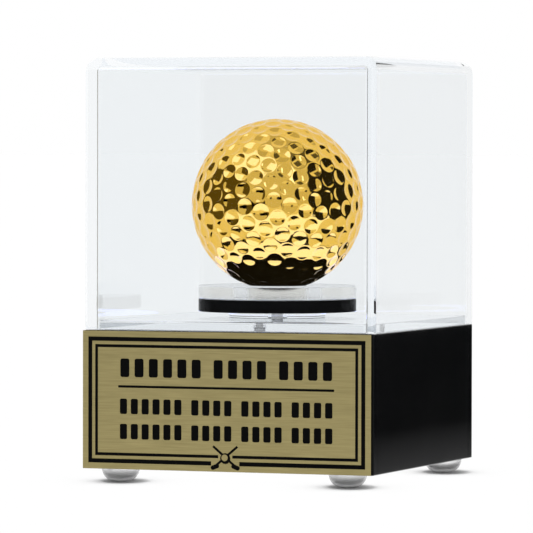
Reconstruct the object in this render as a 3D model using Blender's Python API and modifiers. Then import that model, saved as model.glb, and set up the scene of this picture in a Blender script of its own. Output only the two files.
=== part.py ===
"""Display case for one golf ball: a black sheet-acrylic base with an engraved plate, a pedestal that
holds the ball, and a clear cover that lifts off.

Metres, +Z up. The origin is at the bottom centre of the whole object, and the plate faces -Y.
"""

import math

import bmesh
import bpy
from mathutils import Vector

OBJECT_NAME = "golf_ball_display_case"

# Clearances
GLUE_LINE = 0.0001      # between two pieces that are glued, stacked or resting
SCREW_CLEARANCE = 0.0001

# Base box, made of glued sheet
BASE_SIDE = 0.0762
BASE_HEIGHT = 0.0345
SHEET = 0.003
SHEET_EDGE = 0.0002     # broken edge of a cut sheet

# Engraved plate and its adhesive, on the front of the base
PLATE_WIDTH = 0.0760
PLATE_HEIGHT = 0.0343
PLATE_THICK = 0.0014
PLATE_EDGE = 0.0001
TAPE_THICK = 0.0001
TAPE_INSET = 0.003

# Dome feet, stuck on by hand: each one's distance in from the base's side and from its front or back
FOOT_RADIUS = 0.00475
FOOT_HEIGHT = 0.0033
FOOT_FLAT_RADIUS = 0.0015
FOOT_PLACES = {
    "foot_front_left": (-1, -1, 0.0072, 0.0059),
    "foot_front_right": (1, -1, 0.0089, 0.0062),
    "foot_back_left": (-1, 1, 0.0065, 0.0072),
    "foot_back_right": (1, 1, 0.0051, 0.0082),
}

# Moulded cover
COVER_OVERHANG = 0.0002
COVER_HEIGHT = 0.0675
COVER_WALL = 0.0025
COVER_TOP_ROUND = 0.0030
COVER_SIDE_ROUND = 0.0012
COVER_INSIDE_ROUND = 0.0008
COVER_SIDE = BASE_SIDE + 2 * COVER_OVERHANG

# Pedestal stack, from the deck up. It was put together by hand, a millimetre left of the middle.
STACK_X = -0.0010
FLOOR_CLEARANCE = 0.0003
FLOOR_SIDE = COVER_SIDE - 2 * (COVER_WALL + FLOOR_CLEARANCE)
FLOOR_THICK = 0.0022
FLOOR_CORNER = 0.0012
RISER_RADIUS = 0.0122
RISER_THICK = 0.0015
PEDESTAL_RADIUS = 0.0200
PEDESTAL_THICK = 0.0032
CRADLE_RADIUS = 0.0200
CRADLE_THICK = 0.0032
CRADLE_HOLE_RADIUS = 0.0075

# Ball
BALL_RADIUS = 0.0217

# Machine screw M3 x 10, up from inside the base into the pedestal disc, and its washer
SCREW_RADIUS = 0.0015
SCREW_LENGTH = 0.0098
SCREW_HEAD_RADIUS = 0.00275
SCREW_HEAD_HEIGHT = 0.0020
SOCKET_RADIUS = 0.0012
SOCKET_DEPTH = 0.0011
WASHER_RADIUS = 0.0035
WASHER_THICK = 0.0005

# Levels and places that follow from the sizes above
BASE_BOTTOM = FOOT_HEIGHT + GLUE_LINE
DECK_TOP = BASE_BOTTOM + BASE_HEIGHT
DECK_BOTTOM = DECK_TOP - SHEET
FLOOR_BOTTOM = DECK_TOP + GLUE_LINE
RISER_BOTTOM = FLOOR_BOTTOM + FLOOR_THICK + GLUE_LINE
PEDESTAL_BOTTOM = RISER_BOTTOM + RISER_THICK + GLUE_LINE
CRADLE_BOTTOM = PEDESTAL_BOTTOM + PEDESTAL_THICK + GLUE_LINE
CRADLE_TOP = CRADLE_BOTTOM + CRADLE_THICK
COVER_BOTTOM = DECK_TOP + GLUE_LINE
WASHER_BOTTOM = DECK_BOTTOM - GLUE_LINE - WASHER_THICK
SCREW_SEAT = WASHER_BOTTOM - GLUE_LINE
BALL_CENTRE = CRADLE_TOP + GLUE_LINE + math.sqrt(BALL_RADIUS**2 - CRADLE_HOLE_RADIUS**2)

PLATE_STACK = GLUE_LINE + TAPE_THICK + GLUE_LINE + PLATE_THICK
CASE_Y = (PLATE_STACK - COVER_OVERHANG) / 2     # the base's centre, so that the whole object is centred
BASE_FRONT = CASE_Y - BASE_SIDE / 2
ROUND_STEPS = 64
SCREW_STEPS = 32
MERGE = 0.00001


def clear_scene():
    for obj in list(bpy.data.objects):
        bpy.data.objects.remove(obj, do_unlink=True)


def new_collection(name, hidden=False):
    collection = bpy.data.collections.new(name)
    bpy.context.scene.collection.children.link(collection)
    collection.hide_render = hidden
    return collection


def new_material(name, colour, roughness, metallic=0.0, transmission=0.0):
    material = bpy.data.materials.new(name)
    material.use_nodes = True
    shader = material.node_tree.nodes["Principled BSDF"]
    shader.inputs["Base Color"].default_value = (*colour, 1.0)
    shader.inputs["Roughness"].default_value = roughness
    shader.inputs["Metallic"].default_value = metallic
    shader.inputs["Transmission Weight"].default_value = transmission
    return material


def new_empty(name, place):
    empty = bpy.data.objects.new(name, None)
    empty.location = place
    empty.empty_display_size = 0.01
    parts.objects.link(empty)
    return empty


def new_object(name, mesh, parent, place, material, collection=None):
    """An object at a place given in its parent's frame."""
    obj = bpy.data.objects.new(name, mesh)
    obj.parent = parent
    obj.location = place
    if material:
        mesh.materials.append(material)
    (collection or parts).objects.link(obj)
    return obj


def block_mesh(name, size):
    """A box with its bottom face centred on its origin."""
    cage = bmesh.new()
    bmesh.ops.create_cube(cage, size=1.0)
    bmesh.ops.scale(cage, vec=size, verts=cage.verts)
    bmesh.ops.translate(cage, vec=(0, 0, size[2] / 2), verts=cage.verts)
    mesh = bpy.data.meshes.new(name)
    cage.to_mesh(mesh)
    cage.free()
    return mesh


def add_bevel(obj, width, segments, by_weight=False):
    bevel = obj.modifiers.new("bevel", "BEVEL")
    bevel.width = width
    bevel.segments = segments
    bevel.limit_method = "WEIGHT" if by_weight else "ANGLE"
    return bevel


def weigh_edges(mesh, weight_of):
    """Sets each edge's bevel weight from its two end points."""
    weights = mesh.attributes.new("bevel_weight_edge", "FLOAT", "EDGE")
    for edge in mesh.edges:
        start, end = (mesh.vertices[i].co for i in edge.vertices)
        weights.data[edge.index].value = weight_of(start, end)


def turned(name, profile, parent, place, material, steps=ROUND_STEPS, closed=False, collection=None):
    """A profile of (radius, height) points turned about Z. It runs top to bottom down its outer side."""
    mesh = bpy.data.meshes.new(name)
    edges = [(i, i + 1) for i in range(len(profile) - 1)]
    if closed:
        edges.append((len(profile) - 1, 0))
    mesh.from_pydata([(radius, 0.0, height) for radius, height in profile], edges, [])
    obj = new_object(name, mesh, parent, place, material, collection)
    screw = obj.modifiers.new("turn", "SCREW")
    screw.axis = "Z"
    screw.angle = math.tau
    screw.steps = steps
    screw.render_steps = steps
    screw.use_merge_vertices = True
    screw.merge_threshold = MERGE
    screw.use_smooth_shade = True
    return obj


def rod_profile(radius, height):
    return [(0.0, height), (radius, height), (radius, 0.0), (0.0, 0.0)]


def ring_profile(outer, inner, height):
    return [(inner, height), (outer, height), (outer, 0.0), (inner, 0.0)]


def cut(obj, cutter):
    cutter.display_type = "WIRE"
    cutter.hide_render = True
    boolean = obj.modifiers.new("cut_" + cutter.name, "BOOLEAN")
    boolean.operation = "DIFFERENCE"
    boolean.solver = "EXACT"
    boolean.object = cutter


def drill(obj, radius, low, high):
    """A round hole through a piece on the stack's axis, between two levels of the world."""
    place = (STACK_X, 0.0, low)
    cutter = turned(obj.name + "_drill", rod_profile(radius, high - low), case, place, None,
                    SCREW_STEPS, collection=cutters)
    cut(obj, cutter)


def make_base_box():
    """Four full-height walls: front and back run the full width, the sides butt between them."""
    wall_y = BASE_SIDE / 2 - SHEET / 2
    side_depth = BASE_SIDE - 2 * (SHEET + GLUE_LINE)
    walls = {
        "base_front_panel": ((BASE_SIDE, SHEET, BASE_HEIGHT), (0.0, -wall_y, BASE_BOTTOM)),
        "base_back_panel": ((BASE_SIDE, SHEET, BASE_HEIGHT), (0.0, wall_y, BASE_BOTTOM)),
        "base_left_panel": ((SHEET, side_depth, BASE_HEIGHT), (-wall_y, 0.0, BASE_BOTTOM)),
        "base_right_panel": ((SHEET, side_depth, BASE_HEIGHT), (wall_y, 0.0, BASE_BOTTOM)),
    }
    for name, (size, place) in walls.items():
        add_bevel(new_object(name, block_mesh(name, size), case, place, black_acrylic), SHEET_EDGE, 1)

    inner_side = BASE_SIDE - 2 * (SHEET + GLUE_LINE)
    sheet_size = (inner_side, inner_side, SHEET)
    deck = new_object("deck_panel", block_mesh("deck_panel", sheet_size), case,
                      (0.0, 0.0, DECK_BOTTOM), black_acrylic)
    add_bevel(deck, SHEET_EDGE, 1)
    drill(deck, SCREW_RADIUS + SCREW_CLEARANCE, DECK_BOTTOM - SHEET, DECK_TOP + SHEET)

    bottom = new_object("bottom_panel", block_mesh("bottom_panel", sheet_size), case,
                        (0.0, 0.0, BASE_BOTTOM), black_acrylic)
    add_bevel(bottom, SHEET_EDGE, 1)


def make_plate():
    """A two-layer engraving plate, gold over a black core, on a thin sheet of adhesive."""
    middle = BASE_BOTTOM + BASE_HEIGHT / 2
    tape_height = PLATE_HEIGHT - 2 * TAPE_INSET
    tape_size = (PLATE_WIDTH - 2 * TAPE_INSET, TAPE_THICK, tape_height)
    tape_y = -BASE_SIDE / 2 - GLUE_LINE - TAPE_THICK / 2
    new_object("plate_tape", block_mesh("plate_tape", tape_size), case,
               (0.0, tape_y, middle - tape_height / 2), adhesive)

    plate_y = -BASE_SIDE / 2 - PLATE_STACK + PLATE_THICK / 2
    plate = new_object("name_plate", block_mesh("name_plate", (PLATE_WIDTH, PLATE_THICK, PLATE_HEIGHT)),
                       case, (0.0, plate_y, middle - PLATE_HEIGHT / 2), brushed_gold)
    add_bevel(plate, PLATE_EDGE, 1)


def make_feet():
    """Clear domes with their flat side up against the base and a small worn flat below."""
    arc_steps = 8
    profile = [(0.0, FOOT_HEIGHT), (FOOT_RADIUS, FOOT_HEIGHT)]
    for step in range(1, arc_steps + 1):
        turn = math.pi / 2 * step / arc_steps
        radius = FOOT_FLAT_RADIUS + (FOOT_RADIUS - FOOT_FLAT_RADIUS) * math.cos(turn)
        profile.append((radius, FOOT_HEIGHT * (1 - math.sin(turn))))
    profile.append((0.0, 0.0))
    for name, (side_x, side_y, from_side, from_end) in FOOT_PLACES.items():
        x = side_x * (BASE_SIDE / 2 - from_side)
        y = side_y * (BASE_SIDE / 2 - from_end)
        turned(name, profile, case, (x, y, 0.0), clear_rubber, SCREW_STEPS)


def make_pedestal():
    """A clear floor sheet that locates the cover, a clear riser, a black disc and a clear cradle ring."""
    floor_size = (FLOOR_SIDE, FLOOR_SIDE, FLOOR_THICK)
    floor = new_object("floor_plate", block_mesh("floor_plate", floor_size), case,
                       (0.0, 0.0, FLOOR_BOTTOM), clear_acrylic)

    def corner_weight(start, end):
        return 1.0 if abs(start.z - end.z) > FLOOR_THICK / 2 else 0.0

    weigh_edges(floor.data, corner_weight)
    add_bevel(floor, FLOOR_CORNER, 3, by_weight=True)
    drill(floor, SCREW_RADIUS + SCREW_CLEARANCE, FLOOR_BOTTOM - SHEET, FLOOR_BOTTOM + 2 * SHEET)

    hole = SCREW_RADIUS + SCREW_CLEARANCE
    turned("riser_disc", ring_profile(RISER_RADIUS, hole, RISER_THICK), case,
           (STACK_X, 0.0, RISER_BOTTOM), clear_acrylic, closed=True)

    # The pedestal disc's tapped hole stops short of its top.
    hole_depth = SCREW_SEAT + SCREW_LENGTH + SCREW_CLEARANCE - PEDESTAL_BOTTOM
    blind = [(0.0, PEDESTAL_THICK), (PEDESTAL_RADIUS, PEDESTAL_THICK), (PEDESTAL_RADIUS, 0.0),
             (hole, 0.0), (hole, hole_depth), (0.0, hole_depth)]
    turned("pedestal_disc", blind, case, (STACK_X, 0.0, PEDESTAL_BOTTOM), black_acrylic)

    turned("cradle_ring", ring_profile(CRADLE_RADIUS, CRADLE_HOLE_RADIUS, CRADLE_THICK), case,
           (STACK_X, 0.0, CRADLE_BOTTOM), clear_acrylic, closed=True)


def make_fastening():
    """A socket-head screw and its washer, under the deck."""
    shank = [(0.0, SCREW_LENGTH), (SCREW_RADIUS, SCREW_LENGTH), (SCREW_RADIUS, 0.0),
             (SCREW_HEAD_RADIUS, 0.0), (SCREW_HEAD_RADIUS, -SCREW_HEAD_HEIGHT), (0.0, -SCREW_HEAD_HEIGHT)]
    screw = turned("centre_screw", shank, case, (STACK_X, 0.0, SCREW_SEAT), steel, SCREW_STEPS)
    socket_place = (STACK_X, 0.0, SCREW_SEAT - 2 * SCREW_HEAD_HEIGHT)
    socket_length = SCREW_HEAD_HEIGHT + SOCKET_DEPTH
    cut(screw, turned("socket", rod_profile(SOCKET_RADIUS, socket_length), case, socket_place, None,
                      steps=6, collection=cutters))

    washer_hole = SCREW_RADIUS + SCREW_CLEARANCE
    turned("screw_washer", ring_profile(WASHER_RADIUS, washer_hole, WASHER_THICK), case,
           (STACK_X, 0.0, WASHER_BOTTOM), steel, SCREW_STEPS, closed=True)


def make_cover():
    """A five-sided moulded box, open below, with rounder edges along the top than down the corners."""
    size = (COVER_SIDE, COVER_SIDE, COVER_HEIGHT)
    cover = new_object("cover", block_mesh("cover", size), lift, (0.0, 0.0, 0.0), clear_acrylic)

    def edge_weight(start, end):
        if abs(start.z - end.z) > COVER_HEIGHT / 2:
            return COVER_SIDE_ROUND / COVER_TOP_ROUND
        return 1.0 if start.z > COVER_HEIGHT / 2 else 0.0

    weigh_edges(cover.data, edge_weight)
    add_bevel(cover, COVER_TOP_ROUND, 4, by_weight=True)

    inner_side = COVER_SIDE - 2 * COVER_WALL
    inner_height = COVER_HEIGHT - COVER_WALL
    inner_size = (inner_side, inner_side, inner_height + SHEET)
    hollow = new_object("cover_hollow", block_mesh("cover_hollow", inner_size), lift,
                        (0.0, 0.0, -SHEET), None, cutters)
    add_bevel(hollow, COVER_INSIDE_ROUND, 2)
    cut(cover, hollow)


def make_ball():
    """The ball, down to its smooth envelope, seated on the edge of the cradle's hole."""
    cage = bmesh.new()
    bmesh.ops.create_uvsphere(cage, u_segments=48, v_segments=24, radius=BALL_RADIUS)
    mesh = bpy.data.meshes.new("golf_ball")
    cage.to_mesh(mesh)
    cage.free()
    mesh.shade_smooth()
    new_object("golf_ball", mesh, seat, (0.0, 0.0, 0.0), gold_plating)


clear_scene()
parts = new_collection(OBJECT_NAME)
cutters = new_collection(OBJECT_NAME + "_cutters", hidden=True)

black_acrylic = new_material("black_acrylic", (0.012, 0.012, 0.013), 0.22)
brushed_gold = new_material("brushed_gold", (0.42, 0.36, 0.16), 0.35, metallic=1.0)
adhesive = new_material("adhesive", (0.75, 0.75, 0.72), 0.6)
clear_rubber = new_material("clear_rubber", (0.9, 0.92, 0.93), 0.15, transmission=0.8)
clear_acrylic = new_material("clear_acrylic", (0.98, 0.99, 1.0), 0.02, transmission=1.0)
steel = new_material("steel", (0.55, 0.56, 0.58), 0.3, metallic=1.0)
gold_plating = new_material("gold_plating", (0.95, 0.66, 0.22), 0.08, metallic=1.0)

case = new_empty("case", Vector((0.0, CASE_Y, 0.0)))
lift = new_empty("cover_lift_axis", Vector((0.0, CASE_Y, COVER_BOTTOM)))
seat = new_empty("ball_lift_axis", Vector((STACK_X, CASE_Y, BALL_CENTRE)))

make_base_box()
make_plate()
make_feet()
make_pedestal()
make_fastening()
make_cover()
make_ball()
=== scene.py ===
import math

import bpy
from mathutils import Matrix, Vector


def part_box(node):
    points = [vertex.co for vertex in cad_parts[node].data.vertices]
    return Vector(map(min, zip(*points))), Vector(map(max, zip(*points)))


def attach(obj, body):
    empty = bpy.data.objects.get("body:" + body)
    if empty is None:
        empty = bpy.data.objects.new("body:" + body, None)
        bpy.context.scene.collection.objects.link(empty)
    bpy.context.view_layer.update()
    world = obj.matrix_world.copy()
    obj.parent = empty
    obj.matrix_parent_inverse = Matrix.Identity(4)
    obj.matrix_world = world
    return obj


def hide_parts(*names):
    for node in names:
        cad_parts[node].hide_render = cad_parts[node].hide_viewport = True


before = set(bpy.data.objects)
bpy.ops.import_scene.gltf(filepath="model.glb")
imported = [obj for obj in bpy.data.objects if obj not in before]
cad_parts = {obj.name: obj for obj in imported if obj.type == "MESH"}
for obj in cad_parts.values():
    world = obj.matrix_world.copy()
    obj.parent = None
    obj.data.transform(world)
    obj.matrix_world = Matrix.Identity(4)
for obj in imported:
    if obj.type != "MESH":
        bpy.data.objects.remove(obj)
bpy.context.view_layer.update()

# Camera
# A long lens on a tripod, a little above the base and 21 degrees round to its right. It is 1.2 m
# from the case, and leans by a tenth of a degree.
lens_mm = 321.7
sensor_mm = 36.0
round_to_right = math.radians(20.725)
above_level = math.radians(1.372)
lean = math.radians(0.109)
from_case = 1.20802
sideways = -0.004022
upwards = 0.049746
wall_low, wall_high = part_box("base_right_panel")
base_foot = Vector((0.0, (wall_low.y + wall_high.y) / 2, wall_low.z))

behind = Vector((
    math.sin(round_to_right) * math.cos(above_level),
    -math.cos(round_to_right) * math.cos(above_level),
    math.sin(above_level),
))
level_right = Vector((math.cos(round_to_right), math.sin(round_to_right), 0.0))
level_up = behind.cross(level_right)
right = level_right * math.cos(lean) + level_up * math.sin(lean)
up = level_up * math.cos(lean) - level_right * math.sin(lean)
place = base_foot + behind * from_case + level_right * sideways + level_up * upwards

bpy.ops.object.select_all(action="DESELECT")
bpy.ops.object.camera_add()
camera = bpy.context.object
camera.name = "tripod_camera"
camera.matrix_world = Matrix.Translation(place) @ Matrix((right, up, behind)).transposed().to_4x4()
camera.data.sensor_width = sensor_mm
camera.data.lens = lens_mm
camera.data.clip_start = 0.01
camera.data.clip_end = 500.0
bpy.context.scene.camera = camera
bpy.context.scene.view_settings.view_transform = "Standard"


# Studio
# A white room with a white floor, lit evenly, and one soft lamp high on the left. Black, pale, warm and
# cool white cards stand round the case and show only as mirror images in its polished faces. Small
# flags close to the floor make the shadow at each foot.
class Socket:
    """One output of a node. Sums and products of it add Math nodes to the same tree."""

    def __init__(self, tree, output):
        self.tree = tree
        self.output = output

    def maths(self, operation, *values):
        return new_node(self.tree, "Math", {"operation": operation}, dict(enumerate(values)))

    def __add__(self, other):
        return self.maths("ADD", self, other)

    def __radd__(self, other):
        return self.maths("ADD", other, self)

    def __rsub__(self, other):
        return self.maths("SUBTRACT", other, self)

    def __mul__(self, other):
        return self.maths("MULTIPLY", self, other)

    def __gt__(self, other):
        return self.maths("GREATER_THAN", self, other)

    def __lt__(self, other):
        return self.maths("LESS_THAN", self, other)


def new_node(tree, kind, settings, inputs, output=0):
    """Adds a node: its type, then its settings, then the value or the link of each socket."""
    node = tree.nodes.new("ShaderNode" + kind)
    for setting, value in settings.items():
        setattr(node, setting, value)
    for socket, value in inputs.items():
        if isinstance(value, Socket):
            tree.links.new(value.output, node.inputs[socket])
        else:
            node.inputs[socket].default_value = value
    return Socket(tree, node.outputs[output])


def between(count, fewest, most):
    """Whether a whole number, counted along the light's path, is from the fewest to the most."""
    return (count > fewest - 0.5) * (count < most + 0.5)


def stand_plane(name, centre, facing, width, height):
    """A flat sheet of that size, with its place in its mesh."""
    bpy.ops.object.select_all(action="DESELECT")
    bpy.ops.mesh.primitive_plane_add(size=1)
    sheet = bpy.context.object
    sheet.name = name
    turn = Vector(facing).to_track_quat("Z", "Y").to_matrix().to_4x4()
    sheet.matrix_world = Matrix.Translation(centre) @ turn @ Matrix.Diagonal((width, height, 1, 1))
    bpy.ops.object.transform_apply()
    return sheet


floor_size = 400.0
floor_white = (0.8, 0.8, 0.8, 1)
floor = stand_plane("studio_floor", (0, 0, 0), (0, 0, 1), floor_size, floor_size)
floor_paint = bpy.data.materials.new("floor_paint")
floor_paint.use_nodes = True
shader = floor_paint.node_tree.nodes["Principled BSDF"]
shader.inputs["Base Color"].default_value = floor_white
shader.inputs["Roughness"].default_value = 1.0
shader.inputs["Specular IOR Level"].default_value = 0.0
floor.data.materials.append(floor_paint)

# The wall behind the camera is a duller white in what stands inside the cover, and light that has
# been mirrored twice in there keeps less than half its strength.
dull_wall = 0.78
dull_in_full = 0.75
lost_again = 0.6
room = bpy.data.worlds.new("white_room")
room.use_nodes = True
bpy.context.scene.world = room
tree = room.node_tree
towards = new_node(tree, "TexCoord", {}, {})
facing_camera = new_node(tree, "VectorMath", {"operation": "DOT_PRODUCT"}, {0: towards, 1: behind}, 1)
in_front = new_node(tree, "MapRange", {"interpolation_type": "SMOOTHSTEP"},
                    {0: facing_camera, 1: 0.0, 2: dull_in_full, 3: 0.0, 4: 1.0})
mirrors = new_node(tree, "LightPath", {}, {}, "Glossy Depth")
crossed = new_node(tree, "LightPath", {}, {}, "Transmission Depth")
scattered = new_node(tree, "LightPath", {}, {}, "Diffuse Depth")
mirrored_within = (mirrors > 0.5) * (scattered < 0.5) * (crossed > 1.5)
again = (mirrors > 1.5) * between(crossed, 2, 2)
room_light = (1.0 - mirrored_within * in_front * (1.0 - dull_wall)) * (1.0 - again * lost_again)
tree.links.new(room_light.output, tree.nodes["Background"].inputs["Strength"])
tree.nodes["Background"].inputs["Color"].default_value = (1, 1, 1, 1)

lamp_from = Vector((-0.22, -0.38, 0.90))
bpy.ops.object.light_add(type="SUN", location=lamp_from)
lamp = bpy.context.object
lamp.name = "soft_lamp"
lamp.rotation_euler = lamp_from.to_track_quat("Z", "Y").to_euler()
lamp.data.energy = 0.885
lamp.data.angle = math.radians(24)
lamp.visible_glossy = False
lamp.visible_transmission = False


# How many faces of the case a card's light may go through before it is mirrored.
outside = (0, 0)
through_cover = (2, 2)
either_way = (0, 2)
plain_white = (1.0, 1.0, 1.0)
warm_white = (1.0, 0.85, 0.3)
cool_white = (1.0, 1.12, 2.3)
aim_level = 0.07


def only_in_mirrors(card, light, faces, colour=plain_white, top_light=None, fading=1.0):
    """A card that is seen once mirrored. Its light may change from the floor up to the fading height."""
    paint = bpy.data.materials.new(card.name + "_face")
    paint.use_nodes = True
    tree = paint.node_tree
    tree.nodes.clear()
    mirrors = new_node(tree, "LightPath", {}, {}, "Glossy Depth")
    crossed = new_node(tree, "LightPath", {}, {}, "Transmission Depth")
    from_behind = new_node(tree, "NewGeometry", {}, {}, "Backfacing")
    shown = between(mirrors, 1, 1) * between(crossed, *faces) * (from_behind < 0.5)
    see_past = new_node(tree, "BsdfTransparent", {}, {})
    spot = new_node(tree, "TexCoord", {}, {}, "Object")
    level = new_node(tree, "SeparateXYZ", {}, {"Vector": spot}, "Z")
    last_light = light if top_light is None else top_light
    glow = new_node(tree, "MapRange", {}, {0: level, 1: 0.0, 2: fading, 3: light, 4: last_light})
    tinted = new_node(tree, "VectorMath", {"operation": "SCALE"}, {0: colour, "Scale": glow})
    lit = new_node(tree, "Emission", {}, {"Color": tinted})
    mixed = new_node(tree, "MixShader", {}, {0: shown, 1: see_past, 2: lit})
    surface = tree.nodes.new("ShaderNodeOutputMaterial")
    tree.links.new(mixed.output, surface.inputs["Surface"])
    card.data.materials.append(paint)
    card.visible_camera = False
    card.visible_diffuse = False
    card.visible_shadow = False


def stand_card(name, round_from_camera, away, low, high, width, light, faces, colour=plain_white):
    """A card that stands round the case, facing it."""
    bearing = math.radians(round_from_camera)
    out = Vector((behind.x, behind.y, 0)) * math.cos(bearing) + level_right * math.sin(bearing)
    centre = out * away + Vector((0, 0, (low + high) / 2))
    card = stand_plane(name, centre, -out, width, high - low)
    only_in_mirrors(card, light, faces, colour)


def side_card(name, away, back, width, top):
    """A card that stands on the floor beside the right wall, facing it."""
    return stand_plane(name, (wall_high.x + away, back, top / 2), (-1, 0, 0), width, top)


def hang_card(name, nearer, across, height, width, length, light, colour=plain_white):
    """A card that hangs over the case, facing the ball."""
    centre = behind * nearer + level_right * across + Vector((0, 0, height))
    card = stand_plane(name, centre, Vector((0, 0, aim_level)) - centre, width, length)
    only_in_mirrors(card, light, through_cover, colour)


stand_card("left_card", round_from_camera=-82, away=0.35, low=0.02, high=0.31, width=0.44,
           light=0.11, faces=through_cover, colour=warm_white)
stand_card("right_card", round_from_camera=76, away=0.30, low=0.0, high=0.36, width=0.36,
           light=0.02, faces=through_cover)
stand_card("camera_card", round_from_camera=7, away=0.50, low=0.035, high=0.100, width=0.08,
           light=0.0, faces=through_cover)
stand_card("front_card", round_from_camera=-41.5, away=0.60, low=0.0, high=0.13, width=0.52,
           light=0.0, faces=either_way)
only_in_mirrors(side_card("side_card", away=0.015, back=0.06, width=0.24, top=0.0363),
                light=0.18, faces=outside, top_light=0.0, fading=0.011)
only_in_mirrors(side_card("pale_card", away=0.05, back=0.25, width=0.64, top=0.30),
                light=0.62, faces=outside)
hang_card("soft_box", nearer=0.16, across=-0.20, height=0.42, width=0.34, length=0.24,
          light=1.5, colour=cool_white)
hang_card("strip_box", nearer=0.30, across=0.13, height=0.33, width=0.05, length=0.16,
          light=2.0, colour=cool_white)
hang_card("corner_card", nearer=0.085, across=0.15, height=0.38, width=0.17, length=0.13, light=0.12)
hang_card("ceiling_card", nearer=0.0, across=0.0, height=0.52, width=0.24, length=0.24, light=0.65)
low_card_nearer = 0.17
low_card_level = 0.002
low_card = stand_plane("low_card", (behind.x * low_card_nearer, behind.y * low_card_nearer, low_card_level),
                       level_up, 0.6, 0.2)
only_in_mirrors(low_card, light=1.5, faces=through_cover, colour=cool_white)

# A white ring laid on the case's floor lights the underside of the ball.
ring_inside = 0.021
ring_outside = 0.0345
ring_level = 0.0406
ring_sides = 64
seat_low, seat_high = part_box("cradle_ring")
seat_middle = (seat_low + seat_high) / 2
bpy.ops.object.select_all(action="DESELECT")
bpy.ops.mesh.primitive_circle_add(vertices=ring_sides, radius=ring_inside,
                                  location=(seat_middle.x, seat_middle.y, 0))
reflector = bpy.context.object
reflector.name = "white_ring"
bpy.ops.object.mode_set(mode="EDIT")
bpy.ops.mesh.select_all(action="SELECT")
bpy.ops.mesh.extrude_region_move(TRANSFORM_OT_translate={"value": (0, 0, 0)})
widening = ring_outside / ring_inside
bpy.ops.transform.resize(value=(widening, widening, 1), center_override=(seat_middle.x, seat_middle.y, 0))
bpy.ops.object.mode_set(mode="OBJECT")
reflector.location.z = ring_level
bpy.ops.object.transform_apply()
only_in_mirrors(reflector, light=1.4, faces=through_cover, colour=cool_white)

# Flags close over the floor keep the light off it round each foot, and nowhere else.
flag_level = 0.0028
flag_radius = 0.0060
flag_reach = 1.7
flag_sides = 48
feet = ("foot_front_left", "foot_front_right", "foot_back_left", "foot_back_right")
black_flag = bpy.data.materials.new("black_flag")
black_flag.use_nodes = True
shader = black_flag.node_tree.nodes["Principled BSDF"]
shader.inputs["Base Color"].default_value = (0, 0, 0, 1)
shader.inputs["Specular IOR Level"].default_value = 0.0
for node in feet:
    low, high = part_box(node)
    bpy.ops.object.select_all(action="DESELECT")
    bpy.ops.mesh.primitive_circle_add(vertices=flag_sides, radius=flag_radius, fill_type="NGON",
                                      location=((low.x + high.x) / 2, (low.y + high.y) / 2, flag_level),
                                      rotation=(0, 0, round_to_right))
    flag = bpy.context.object
    flag.name = "flag_" + node
    flag.scale = (1, flag_reach, 1)
    bpy.ops.object.transform_apply()
    flag.data.materials.append(black_flag)
    flag.visible_camera = False
    flag.visible_glossy = False
    flag.visible_transmission = False


# Base box
# Four walls and two inner panels of 3 mm black acrylic sheet, sawn to size and cemented into a box.
# Front and back run the full width, and the sawn edges are flame polished, so they are barely rounded.
def block(name, low, high):
    """A box between two corners, with its place in its mesh."""
    bpy.ops.object.select_all(action="DESELECT")
    bpy.ops.mesh.primitive_cube_add(size=1, location=(low + high) / 2, scale=high - low)
    piece = bpy.context.object
    piece.name = name
    bpy.ops.object.transform_apply()
    return piece


def select(piece, kind, wanted):
    """Leaves only the wanted faces or edges selected, with the piece in edit mode."""
    bpy.ops.object.mode_set(mode="EDIT")
    bpy.ops.mesh.select_mode(type=kind)
    bpy.ops.mesh.select_all(action="DESELECT")
    bpy.ops.object.mode_set(mode="OBJECT")
    points = piece.data.vertices
    if kind == "FACE":
        for face in piece.data.polygons:
            face.select = wanted(face.center, face.normal)
    else:
        for edge in piece.data.edges:
            edge.select = wanted(*(points[end].co for end in edge.vertices))
    bpy.ops.object.mode_set(mode="EDIT")


def finish_modifier(piece, modifier):
    bpy.context.view_layer.objects.active = piece
    bpy.ops.object.modifier_apply(modifier=modifier.name)


def round_edges(piece, width, segments=3, by_weight=False, sharper_than=30):
    """Rounds the edges and keeps the flat faces flat to the light."""
    bpy.ops.object.shade_smooth()
    rounding = piece.modifiers.new("rounding", "BEVEL")
    rounding.width = width
    rounding.segments = segments
    rounding.limit_method = "WEIGHT" if by_weight else "ANGLE"
    rounding.angle_limit = math.radians(sharper_than)
    rounding.harden_normals = True
    finish_modifier(piece, rounding)


def cut_out(piece, cutter):
    """Takes the cutter's shape out of the piece, and gives the cut faces the cutter's material."""
    cutting = piece.modifiers.new("cutting", "BOOLEAN")
    cutting.operation = "DIFFERENCE"
    cutting.solver = "EXACT"
    cutting.material_mode = "TRANSFER"
    cutting.object = cutter
    finish_modifier(piece, cutting)
    bpy.data.objects.remove(cutter)


def rod(name, radius, low, high, sides=64):
    """A round bar on the screw's axis, between two levels."""
    bpy.ops.object.select_all(action="DESELECT")
    bpy.ops.mesh.primitive_cylinder_add(
        vertices=sides, radius=radius, depth=high - low, location=(stack.x, stack.y, (low + high) / 2))
    piece = bpy.context.object
    piece.name = name
    bpy.ops.object.transform_apply()
    return piece


def fix(piece, body, node):
    """Hands a finished piece to the frame, in place of the plain solid of the same part.

    Only the feet shade what is round them. Other pieces cast no shadow and stop no bounced light.
    """
    if node not in feet:
        piece.visible_diffuse = False
        piece.visible_shadow = False
    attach(piece, body)
    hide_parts(node)


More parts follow.
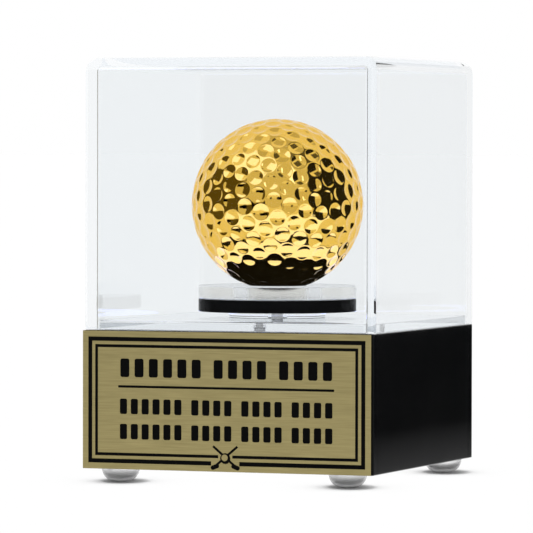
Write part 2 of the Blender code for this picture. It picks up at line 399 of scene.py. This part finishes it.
screw_low, screw_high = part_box("centre_screw")
stack = (screw_low + screw_high) / 2
black_sheet = bpy.data.materials.new("black_cast_acrylic")
black_sheet.use_nodes = True
tree = black_sheet.node_tree
shader = tree.nodes["Principled BSDF"]
spot = new_node(tree, "TexCoord", {}, {}, "Object")
handling = new_node(tree, "TexNoise", {}, {"Vector": spot, "Scale": 55.0, "Detail": 4.0})
dust = new_node(tree, "TexNoise", {}, {"Vector": spot, "Scale": 2600.0, "Detail": 2.0})
haze = new_node(tree, "MapRange", {}, {0: handling, 1: 0.35, 2: 0.75, 3: 0.0, 4: 1.0})
tone = new_node(tree, "Mix", {"data_type": "RGBA"},
                {0: haze, 6: (0.0042, 0.0044, 0.0048, 1), 7: (0.0060, 0.0061, 0.0064, 1)}, 2)
gloss = 0.07 + haze * 0.05 + dust * 0.015
waves = new_node(tree, "TexNoise", {}, {"Vector": spot, "Scale": 24.0, "Detail": 1.0})
skin = new_node(tree, "Bump", {}, {"Strength": 0.05, "Distance": 0.0004, "Height": waves})
tree.links.new(tone.output, shader.inputs["Base Color"])
tree.links.new(gloss.output, shader.inputs["Roughness"])
tree.links.new(skin.output, shader.inputs["Normal"])
shader.inputs["Specular IOR Level"].default_value = 0.3

sawn_edge = 0.00022
panels = {
    "front_wall": "base_front_panel",
    "back_wall": "base_back_panel",
    "left_wall": "base_left_panel",
    "right_wall": "base_right_panel",
    "underside": "bottom_panel",
    "deck": "deck_panel",
}
screw_hole = 0.0016
drill_over = 0.003
drill_sides = 32
for name, node in panels.items():
    low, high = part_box(node)
    panel = block(name, low, high)
    if node == "deck_panel":
        cut_out(panel, rod("drill", screw_hole, low.z - drill_over, high.z + drill_over, drill_sides))
    round_edges(panel, sawn_edge)
    panel.data.materials.clear()
    panel.data.materials.append(black_sheet)
    fix(panel, "base", node)


# Engraved plate and its tape
# Two-ply engraving sheet, a brushed gold face on a black core. The borders, the rule, the bands of
# strokes and the crossed clubs are cut through the face, and a thin tape holds the plate to the base.
plate_low, plate_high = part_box("name_plate")
plate_middle = (plate_low.x + plate_high.x) / 2
plate_front = plate_low.y
engraving_depth = 0.00022
cutter_over = 0.0004
core_edge = 0.00008

gold_face = bpy.data.materials.new("brushed_gold_face")
gold_face.use_nodes = True
tree = gold_face.node_tree
shader = tree.nodes["Principled BSDF"]
spot = new_node(tree, "TexCoord", {}, {}, "Object")
along = new_node(tree, "Mapping", {}, {"Vector": spot, "Scale": (110.0, 1.0, 2700.0)})
long_along = new_node(tree, "Mapping", {}, {"Vector": spot, "Scale": (30.0, 1.0, 5200.0)})
hairlines = new_node(tree, "TexNoise", {}, {"Vector": along, "Scale": 1.0, "Detail": 5.0})
bands = new_node(tree, "TexNoise", {}, {"Vector": long_along, "Scale": 1.0, "Detail": 3.0})
streaks = new_node(tree, "MapRange", {},
                   {0: hairlines * 0.7 + bands * 0.3, 1: 0.30, 2: 0.70, 3: 0.0, 4: 1.0})
tone = new_node(tree, "Mix", {"data_type": "RGBA"},
                {0: streaks, 6: (0.320, 0.268, 0.115, 1), 7: (0.440, 0.370, 0.168, 1)}, 2)
gloss = 0.36 + streaks * 0.12
brushing = new_node(tree, "Bump", {}, {"Strength": 0.25, "Distance": 0.00003, "Height": hairlines})
tree.links.new(tone.output, shader.inputs["Base Color"])
tree.links.new(gloss.output, shader.inputs["Roughness"])
tree.links.new(brushing.output, shader.inputs["Normal"])
shader.inputs["Metallic"].default_value = 0.85

black_core = bpy.data.materials.new("black_plate_core")
black_core.use_nodes = True
tree = black_core.node_tree
shader = tree.nodes["Principled BSDF"]
spot = new_node(tree, "TexCoord", {}, {}, "Object")
grain = new_node(tree, "TexNoise", {}, {"Vector": spot, "Scale": 3000.0, "Detail": 2.0})
tone = new_node(tree, "Mix", {"data_type": "RGBA"},
                {0: grain, 6: (0.0015, 0.0015, 0.0015, 1), 7: (0.004, 0.004, 0.004, 1)}, 2)
tree.links.new(tone.output, shader.inputs["Base Color"])
tree.links.new((0.55 + grain * 0.2).output, shader.inputs["Roughness"])
shader.inputs["Specular IOR Level"].default_value = 0.02

plate = block("engraved_plate", plate_low, plate_high)
round_edges(plate, core_edge, 2)
plate.data.materials.clear()
plate.data.materials.append(gold_face)
plate.data.materials.append(black_core)
for face in plate.data.polygons:
    face.material_index = 0 if face.normal.y < -0.5 else 1


def engraver(name, middle, below_top, width, height, corner=0.0, lean=0.0):
    """A cutter for one engraved mark: its middle across the plate, and how far below the top it is."""
    centre = Vector((plate_middle + middle, plate_front, plate_high.z - below_top))
    half = Vector((width / 2, 0, height / 2))
    front = Vector((0, -cutter_over, 0))
    back = Vector((0, engraving_depth, 0))
    mark = block(name, centre - half + front, centre + half + back)
    if corner:
        select(mark, "EDGE", lambda start, end: abs(start.y - end.y) > engraving_depth)
        bpy.ops.mesh.bevel(offset=corner, segments=4)
    if lean:
        bpy.ops.object.mode_set(mode="EDIT")
        bpy.ops.mesh.select_all(action="SELECT")
        bpy.ops.transform.rotate(value=lean, orient_axis="Y", center_override=centre)
    if bpy.context.mode != "OBJECT":
        bpy.ops.object.mode_set(mode="OBJECT")
    mark.data.materials.append(black_core)
    return mark


def repeat(mark, count, pitch):
    """A row of the same mark, across the plate."""
    if count > 1:
        row = mark.modifiers.new("row", "ARRAY")
        row.count = count
        row.use_relative_offset = False
        row.use_constant_offset = True
        row.constant_offset_displace = (pitch, 0, 0)
        finish_modifier(mark, row)
    return mark


def border(name, inset, line, gap):
    """A rectangular line round the plate, broken at the bottom where the emblem stands."""
    width = plate_high.x - plate_low.x - 2 * inset
    height = plate_high.z - plate_low.z - 2 * inset
    below_top = (plate_high.z - plate_low.z) / 2
    ring = engraver(name, 0, below_top, width, height)
    cut_out(ring, engraver("inside", 0, below_top, width - 2 * line, height - 2 * line))
    cut_out(ring, engraver("break", 0, below_top + height / 2, gap, 4 * line))
    return ring


outer_border_inset = 0.0015
outer_border_line = 0.00105
inner_border_inset = 0.00335
inner_border_line = 0.00075
outer_border_gap = 0.0074
inner_border_gap = 0.0037
rule_level = 0.01376
rule_long = 0.0570
rule_line = 0.0006
marks = [
    border("outer_border", outer_border_inset, outer_border_line, outer_border_gap),
    border("inner_border", inner_border_inset, inner_border_line, inner_border_gap),
    engraver("rule", 0, rule_level, rule_long, rule_line, corner=0.00025),
]
# Each row: how far below the top, bar height, pitch, bar width, gap between groups, bars in each group.
bar_corner_share = 0.22
rows = (
    (0.00912, 0.0046, 0.00380, 0.0024, 0.0020, (6, 4, 4)),
    (0.01868, 0.0038, 0.00290, 0.0019, 0.0016, (6, 4, 4, 4)),
    (0.02492, 0.0038, 0.00290, 0.0019, 0.0016, (6, 4, 4, 4)),
)
for below_top, height, pitch, bar, word_gap, words in rows:
    length = sum(words) * pitch - pitch + bar + (len(words) - 1) * word_gap
    start = -length / 2 + bar / 2
    for count in words:
        mark = engraver("bars", start, below_top, bar, height, corner=bar * bar_corner_share)
        marks.append(repeat(mark, count, pitch))
        start += count * pitch + word_gap

emblem_level = 0.0307
club_lean = math.radians(50)
shaft_long = 0.0084
shaft_wide = 0.00060
ball_mark = 0.00270
ball_gap = 0.00240
ball_level = emblem_level + 0.0003
round_share = 0.49
head_long = 0.0023
head_tall = 0.0011
head_corner = 0.0005
head_lean = math.radians(-20)
head_inwards = 0.0005
head_upwards = 0.0003
for side in (-1, 1):
    mark = engraver("shaft", 0, emblem_level, shaft_wide, shaft_long, lean=side * club_lean)
    cut_out(mark, engraver("ball_gap", 0, ball_level, ball_gap, ball_gap, corner=ball_gap * round_share))
    marks.append(mark)
    toe_across = side * (math.sin(club_lean) * shaft_long / 2 - head_inwards)
    toe_level = emblem_level + math.cos(club_lean) * shaft_long / 2 - head_upwards
    marks.append(engraver("club_head", toe_across, toe_level, head_long, head_tall, corner=head_corner,
                          lean=side * head_lean))
shine = 0.00165
shine_shift = 0.00018
mark = engraver("ball_mark", 0, ball_level, ball_mark, ball_mark, corner=ball_mark * round_share)
cut_out(mark, engraver("shine", -shine_shift, ball_level - shine_shift, shine, shine,
                       corner=shine * round_share))
marks.append(mark)

for mark in marks:
    cut_out(plate, mark)
bpy.ops.object.shade_flat()
fix(plate, "base", "name_plate")

tape_low, tape_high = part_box("plate_tape")
tape = block("plate_adhesive", tape_low, tape_high)
tape_corner = 0.0015
tape_across = 0.00005
select(tape, "EDGE", lambda start, end: abs(start.y - end.y) > tape_across)
bpy.ops.mesh.bevel(offset=tape_corner, segments=4)
bpy.ops.object.mode_set(mode="OBJECT")
tape_film = bpy.data.materials.new("tape_film")
tape_film.use_nodes = True
tree = tape_film.node_tree
shader = tree.nodes["Principled BSDF"]
spot = new_node(tree, "TexCoord", {}, {}, "Object")
fibres = new_node(tree, "TexNoise", {}, {"Vector": spot, "Scale": 900.0, "Detail": 6.0})
tone = new_node(tree, "Mix", {"data_type": "RGBA"},
                {0: fibres, 6: (0.62, 0.60, 0.54, 1), 7: (0.76, 0.75, 0.70, 1)}, 2)
tree.links.new(tone.output, shader.inputs["Base Color"])
tree.links.new((0.45 + fibres * 0.3).output, shader.inputs["Roughness"])
tape.data.materials.append(tape_film)
fix(tape, "base", "plate_tape")


# Feet
# Four clear self-adhesive bumpers of soft polyurethane, domes 9.5 mm across, stuck on under the base
# by hand. Each has a flat spot that it stands on. Their colour holds a painted shade, dark grey at the
# floor and white up at the base.
bumper = bpy.data.materials.new("clear_soft_polyurethane")
bumper.use_nodes = True
tree = bumper.node_tree
shader = tree.nodes["Principled BSDF"]
spot = new_node(tree, "TexCoord", {}, {}, "Object")
cloud = new_node(tree, "TexNoise", {}, {"Vector": spot, "Scale": 420.0, "Detail": 4.0})
height = new_node(tree, "SeparateXYZ", {}, {"Vector": spot}, "Z")
# Painted shade: the clear plastic's colour goes from dark grey near the floor to white near the base, with
# its edge broken up by the cloud noise.
painted_shade_below = new_node(tree, "MapRange", {}, {0: height + cloud * 0.0004, 1: 0.0004, 2: 0.0030, 3: 0.0, 4: 1.0})
tone = new_node(tree, "Mix", {"data_type": "RGBA"},
                {0: painted_shade_below, 6: (0.20, 0.20, 0.205, 1), 7: (1.0, 1.0, 1.0, 1)}, 2)
pits = new_node(tree, "Bump", {}, {"Strength": 0.15, "Distance": 0.00005, "Height": cloud})
tree.links.new(tone.output, shader.inputs["Base Color"])
tree.links.new(pits.output, shader.inputs["Normal"])
shader.inputs["Transmission Weight"].default_value = 1.0
shader.inputs["IOR"].default_value = 1.50
shader.inputs["Roughness"].default_value = 0.22


def let_lamps_through(finish, tint):
    """Lamp light goes straight through clear plastic, and so does light caught between its faces."""
    tree = finish.node_tree
    glass = Socket(tree, tree.nodes["Principled BSDF"].outputs[0])
    to_lamp = new_node(tree, "LightPath", {}, {}, "Is Shadow Ray")
    mirrors = new_node(tree, "LightPath", {}, {}, "Glossy Depth")
    crossed = new_node(tree, "LightPath", {}, {}, "Transmission Depth")
    past = (mirrors > 0.5) * (crossed > 1.5)
    straight = to_lamp.maths("MAXIMUM", to_lamp, past.maths("MAXIMUM", past, mirrors > 1.5))
    window = new_node(tree, "BsdfTransparent", {}, {"Color": tint})
    both = new_node(tree, "MixShader", {}, {0: straight, 1: glass, 2: window})
    tree.links.new(both.output, tree.nodes["Material Output"].inputs["Surface"])


let_lamps_through(bumper, (0.8, 0.8, 0.8, 1))
foot_sides = 48
foot_rings = 9
foot_flat = 0.0015
for node in feet:
    low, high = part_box(node)
    middle = (low + high) / 2
    radius = (high.x - low.x) / 2
    bpy.ops.object.select_all(action="DESELECT")
    bpy.ops.mesh.primitive_circle_add(vertices=foot_sides, radius=radius, fill_type="NGON",
                                      location=(middle.x, middle.y, high.z))
    foot = bpy.context.object
    foot.name = node.replace("foot", "bumper")
    bpy.ops.object.transform_apply()
    bpy.ops.object.mode_set(mode="EDIT")
    bpy.ops.mesh.select_all(action="SELECT")
    reach = radius
    depth = 0.0
    for ring in range(1, foot_rings + 1):
        turn = math.pi / 2 * ring / foot_rings
        next_reach = foot_flat + (radius - foot_flat) * math.cos(turn)
        next_depth = (high.z - low.z) * math.sin(turn)
        bpy.ops.mesh.extrude_region_move(TRANSFORM_OT_translate={"value": (0, 0, depth - next_depth)})
        bpy.ops.transform.resize(value=(next_reach / reach, next_reach / reach, 1))
        reach = next_reach
        depth = next_depth
    bpy.ops.mesh.select_all(action="SELECT")
    bpy.ops.mesh.normals_make_consistent(inside=False)
    bpy.ops.object.mode_set(mode="OBJECT")
    bpy.ops.object.shade_smooth_by_angle(angle=math.radians(35))
    foot.data.materials.append(bumper)
    fix(foot, "base", node)


# Floor sheet
# Clear 2.2 mm acrylic that lies on the deck and keeps the cover in place. Its corners are rounded to
# fit inside the cover, and the screw passes through its middle.
def clear_acrylic(name, darker, lighter, grain, ripple, lamp_tint, roughness=0.0):
    """Clear plastic, close to colourless, with a very slight ripple in its faces."""
    finish = bpy.data.materials.new(name)
    finish.use_nodes = True
    tree = finish.node_tree
    shader = tree.nodes["Principled BSDF"]
    spot = new_node(tree, "TexCoord", {}, {}, "Object")
    flow = new_node(tree, "TexNoise", {}, {"Vector": spot, **grain})
    tone = new_node(tree, "Mix", {"data_type": "RGBA"}, {0: flow, 6: darker, 7: lighter}, 2)
    waves = new_node(tree, "Bump", {}, {"Height": flow, **ripple})
    tree.links.new(tone.output, shader.inputs["Base Color"])
    tree.links.new(waves.output, shader.inputs["Normal"])
    shader.inputs["Transmission Weight"].default_value = 1.0
    shader.inputs["IOR"].default_value = 1.49
    shader.inputs["Roughness"].default_value = roughness
    let_lamps_through(finish, lamp_tint)
    return finish


sheet_grain = {"Scale": 30.0, "Detail": 2.0}
sheet_ripple = {"Strength": 0.03, "Distance": 0.0002}
sheet_lamp_tint = (0.95, 0.96, 0.97, 1)
clear_sheet = clear_acrylic("clear_cast_acrylic", (0.975, 0.985, 0.990, 1), (0.995, 1.0, 1.0, 1),
                            sheet_grain, sheet_ripple, sheet_lamp_tint)
milled_ring = clear_acrylic("clear_acrylic_milled_edge", (0.84, 0.83, 0.80, 1), (0.90, 0.89, 0.87, 1),
                            sheet_grain, sheet_ripple, sheet_lamp_tint, roughness=0.16)

floor_corner = 0.0012
low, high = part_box("floor_plate")
locator = block("locating_sheet", low, high)
select(locator, "EDGE", lambda start, end: abs(start.z - end.z) > 0.001)
bpy.ops.mesh.bevel(offset=floor_corner, segments=6)
bpy.ops.object.mode_set(mode="OBJECT")
cut_out(locator, rod("drill", screw_hole, low.z - drill_over, high.z + drill_over, drill_sides))
round_edges(locator, 0.00015, 2)
locator.data.materials.clear()
locator.data.materials.append(clear_sheet)
fix(locator, "base", "floor_plate")


# Pedestal
# A clear riser, a black disc and a clear ring, laser cut from acrylic sheet and stacked on the screw.
# The ball sits in the ring's hole, and the black disc is tapped for the screw.
cut_edge = 0.00018
seat_hole = 0.0075
disc_sides = 128
hole_sides = 96
past_screw = 0.0001


def ring_piece(name, node, hole_radius, finish):
    """A clear disc of the node's own size, with a hole right through it."""
    low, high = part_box(node)
    piece = rod(name, (high.x - low.x) / 2, low.z, high.z, disc_sides)
    cut_out(piece, rod("hole", hole_radius, low.z - drill_over, high.z + drill_over, hole_sides))
    round_edges(piece, cut_edge)
    piece.data.materials.clear()
    piece.data.materials.append(finish)
    fix(piece, "base", node)


ring_piece("riser", "riser_disc", screw_hole, clear_sheet)
ring_piece("cradle", "cradle_ring", seat_hole, milled_ring)

low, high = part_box("pedestal_disc")
pedestal = rod("pedestal", (high.x - low.x) / 2, low.z, high.z, disc_sides)
cut_out(pedestal, rod("tapping", screw_hole, low.z - drill_over, screw_high.z + past_screw, drill_sides))
round_edges(pedestal, cut_edge)
pedestal.data.materials.clear()
matt_black = black_sheet.copy()
matt_black.name = "black_acrylic_laser_cut"
matt_black.node_tree.nodes["Principled BSDF"].inputs["Specular IOR Level"].default_value = 0.01
pedestal.data.materials.append(matt_black)
fix(pedestal, "base", "pedestal_disc")


# Screw and washer
# A bright zinc M3 cap screw with its washer, up from inside the base, through the deck, the floor
# sheet and the riser into the black disc.
zinc = bpy.data.materials.new("bright_zinc_steel")
zinc.use_nodes = True
tree = zinc.node_tree
shader = tree.nodes["Principled BSDF"]
spot = new_node(tree, "TexCoord", {}, {}, "Object")
crystals = new_node(tree, "TexNoise", {}, {"Vector": spot, "Scale": 1800.0, "Detail": 3.0})
tone = new_node(tree, "Mix", {"data_type": "RGBA"},
                {0: crystals, 6: (0.60, 0.61, 0.63, 1), 7: (0.78, 0.79, 0.81, 1)}, 2)
tree.links.new(tone.output, shader.inputs["Base Color"])
tree.links.new((0.3 + crystals * 0.15).output, shader.inputs["Roughness"])
shader.inputs["Metallic"].default_value = 0.55

washer_sides = 48
washer_edge = 0.00008
washer_low, washer_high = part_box("screw_washer")
washer = rod("washer", (washer_high.x - washer_low.x) / 2, washer_low.z, washer_high.z, washer_sides)
cut_out(washer, rod("hole", screw_hole, washer_low.z - drill_over, washer_high.z + drill_over,
                    washer_sides))
round_edges(washer, washer_edge, 2)
washer.data.materials.clear()
washer.data.materials.append(zinc)
fix(washer, "base", "screw_washer")

head_height = 0.0020
head_radius = (screw_high.x - screw_low.x) / 2
shank_radius = 0.0015
socket_radius = 0.0012
socket_depth = 0.0011
thread_pitch = 0.0005
thread_depth = 0.00018
plain_tip = 0.0002
tip_taper = 0.8
head_sides = 36
screw = rod("cap_screw", head_radius, screw_low.z, screw_low.z + head_height, head_sides)
select(screw, "FACE", lambda centre, normal: normal.z > 0.5)
bpy.ops.mesh.inset(thickness=head_radius - shank_radius)
level = screw_low.z + head_height
plain_top = screw_high.z - plain_tip
narrower = (shank_radius - thread_depth) / shank_radius
crest = True
while level + thread_pitch / 2 < plain_top:
    bpy.ops.mesh.extrude_region_move(TRANSFORM_OT_translate={"value": (0, 0, thread_pitch / 2)})
    bpy.ops.transform.resize(value=(narrower, narrower, 1) if crest else (1 / narrower, 1 / narrower, 1))
    crest = not crest
    level += thread_pitch / 2
bpy.ops.mesh.extrude_region_move(TRANSFORM_OT_translate={"value": (0, 0, screw_high.z - level)})
bpy.ops.transform.resize(value=(tip_taper, tip_taper, 1))
bpy.ops.object.mode_set(mode="OBJECT")
cut_out(screw, rod("key_socket", socket_radius, screw_low.z - 0.001, screw_low.z + socket_depth, 6))
bpy.ops.object.shade_smooth_by_angle(angle=math.radians(25))
screw.data.materials.clear()
screw.data.materials.append(zinc)
fix(screw, "base", "centre_screw")


# Ball
# A regulation golf ball with a bright gold plating. Its 362 round dimples sit nearly rim to rim on an
# icosahedron's grid, and the plating follows them like a mirror.
ball_low, ball_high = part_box("golf_ball")
ball_centre = (ball_low + ball_high) / 2
ball_radius = (ball_high.z - ball_low.z) / 2
dimple_share = 0.486
dimple_depth = 0.00032
rim_width = 0.00006
rim_points = 4
settling_rounds = 150
settling_push = 0.25
ball_turn = (0.35, 0.22, 0.5)
grid_cuts = 5

bpy.ops.object.select_all(action="DESELECT")
bpy.ops.mesh.primitive_ico_sphere_add(subdivisions=1, radius=ball_radius, location=ball_centre,
                                      rotation=ball_turn)
ball = bpy.context.object
ball.name = "gold_ball"
bpy.ops.object.transform_apply()
bpy.ops.object.mode_set(mode="EDIT")
bpy.ops.mesh.select_all(action="SELECT")
bpy.ops.mesh.subdivide(number_cuts=grid_cuts)
bpy.ops.object.mode_set(mode="OBJECT")

# The grid's points push each other along its lines until they are evenly spread over the sphere.
grid = [(point.co - ball_centre).normalized() for point in ball.data.vertices]
lines = [tuple(edge.vertices) for edge in ball.data.edges]
spacing = sum((grid[a] - grid[b]).length for a, b in lines) / len(lines)
for settling in range(settling_rounds):
    moves = [Vector() for point in grid]
    for a, b in lines:
        span = grid[b] - grid[a]
        pull = span * (settling_push * (1 - spacing / span.length))
        moves[a] += pull
        moves[b] -= pull
    grid = [(point + move).normalized() for point, move in zip(grid, moves)]
clear_round = [math.inf] * len(grid)
for a, b in lines:
    apart = (grid[a] - grid[b]).length
    clear_round[a] = min(clear_round[a], apart)
    clear_round[b] = min(clear_round[b], apart)
for point, direction in zip(ball.data.vertices, grid):
    point.co = ball_centre + direction * ball_radius

# Each grid point opens into a polygon, which is then made round.
bpy.ops.object.mode_set(mode="EDIT")
bpy.ops.mesh.select_all(action="SELECT")
bpy.ops.mesh.bevel(affect="VERTICES", offset_type="PERCENT", offset_pct=45, segments=rim_points,
                   profile=0.12)
bpy.ops.mesh.select_mode(type="FACE")
bpy.ops.mesh.select_all(action="DESELECT")
bpy.ops.mesh.select_face_by_sides(number=5, type="LESS")
bpy.ops.mesh.dissolve_faces()
bpy.ops.object.mode_set(mode="OBJECT")
smallest = math.inf
for face in ball.data.polygons:
    if not face.select:
        continue
    out = (face.center - ball_centre).normalized()
    at = min(range(len(grid)), key=lambda point: (grid[point] - out).length_squared)
    across = dimple_share * clear_round[at] * ball_radius
    smallest = min(smallest, across)
    level = ball_centre + grid[at] * math.sqrt(ball_radius**2 - across**2)
    for corner in face.vertices:
        spoke = ball.data.vertices[corner].co - ball_centre
        spoke -= grid[at] * spoke.dot(grid[at])
        ball.data.vertices[corner].co = level + spoke.normalized() * across

bpy.ops.object.mode_set(mode="EDIT")
bpy.ops.mesh.inset(thickness=rim_width, depth=0, use_individual=True)
reach = 1.0
dimple_steps = (0.87, 0.70, 0.51, 0.31, 0.13)
for next_reach in dimple_steps:
    bpy.ops.mesh.inset(thickness=(reach - next_reach) * (smallest - rim_width), use_individual=True,
                       depth=-dimple_depth * (reach**2 - next_reach**2))
    reach = next_reach
bpy.ops.object.mode_set(mode="OBJECT")
bpy.ops.object.shade_smooth()

plating = bpy.data.materials.new("bright_gold_plating")
plating.use_nodes = True
tree = plating.node_tree
shader = tree.nodes["Principled BSDF"]
spot = new_node(tree, "TexCoord", {}, {}, "Object")
bath = new_node(tree, "TexNoise", {}, {"Vector": spot, "Scale": 90.0, "Detail": 3.0})
specks = new_node(tree, "TexNoise", {}, {"Vector": spot, "Scale": 2400.0, "Detail": 2.0})
tone = new_node(tree, "Mix", {"data_type": "RGBA"},
                {0: bath, 6: (1.0, 0.565, 0.060, 1), 7: (1.0, 0.635, 0.105, 1)}, 2)
polish = new_node(tree, "Bump", {}, {"Strength": 0.06, "Distance": 0.00003, "Height": specks})
tree.links.new(tone.output, shader.inputs["Base Color"])
tree.links.new((0.05 + bath * 0.04 + specks * 0.02).output, shader.inputs["Roughness"])
tree.links.new(polish.output, shader.inputs["Normal"])
shader.inputs["Metallic"].default_value = 1.0
shader.inputs["Specular Tint"].default_value = (1.0, 0.93, 0.82, 1)
shader.inputs["Coat Weight"].default_value = 0.35
shader.inputs["Coat IOR"].default_value = 1.5
shader.inputs["Coat Roughness"].default_value = 0.03
ball.data.materials.append(plating)
ball.visible_glossy = False
fix(ball, "ball", "golf_ball")


# Cover
# A five-sided box moulded in clear acrylic, 2.5 mm thick, rounder along its top edges than down its
# corners. It stands on the base round the floor sheet and lifts straight off.
low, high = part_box("cover")
cover_wall = 0.0025
top_round = 0.0030
corner_round = 0.0012
inside_round = 0.0008
rim_break = 0.00015
close_to = 0.001
well_above = 0.01
cover = block("clear_cover", low, high)
select(cover, "FACE", lambda centre, normal: normal.z < -0.5)
bpy.ops.mesh.inset(thickness=cover_wall)
bpy.ops.mesh.extrude_region_move(TRANSFORM_OT_translate={"value": (0, 0, high.z - low.z - cover_wall)})
inner_side = high.x - cover_wall


def weigh(piece, width, wanted):
    """Marks the wanted edges with their share of the widest rounding."""
    select(piece, "EDGE", wanted)
    bpy.ops.transform.edge_bevelweight(value=width / top_round)
    bpy.ops.object.mode_set(mode="OBJECT")


def outer(point):
    return abs(point.x) > inner_side + cover_wall / 2


weigh(cover, top_round, lambda start, end: outer(start) and min(start.z, end.z) > high.z - close_to)
weigh(cover, corner_round, lambda start, end: outer(start) and outer(end)
      and abs(start.z - end.z) > well_above)
weigh(cover, inside_round, lambda start, end: not outer(start) and not outer(end)
      and max(start.z, end.z) > low.z + well_above)
weigh(cover, rim_break, lambda start, end: outer(start) == outer(end)
      and max(start.z, end.z) < low.z + close_to)
round_edges(cover, top_round, 8, by_weight=True)

moulding = clear_acrylic("clear_moulded_acrylic", (0.962, 0.979, 0.988, 1), (0.972, 0.986, 0.993, 1),
                         {"Scale": 18.0, "Detail": 1.0}, {"Strength": 0.02, "Distance": 0.0003},
                         (0.96, 0.97, 0.98, 1))
cover.data.materials.clear()
cover.data.materials.append(moulding)
fix(cover, "cover", "cover")
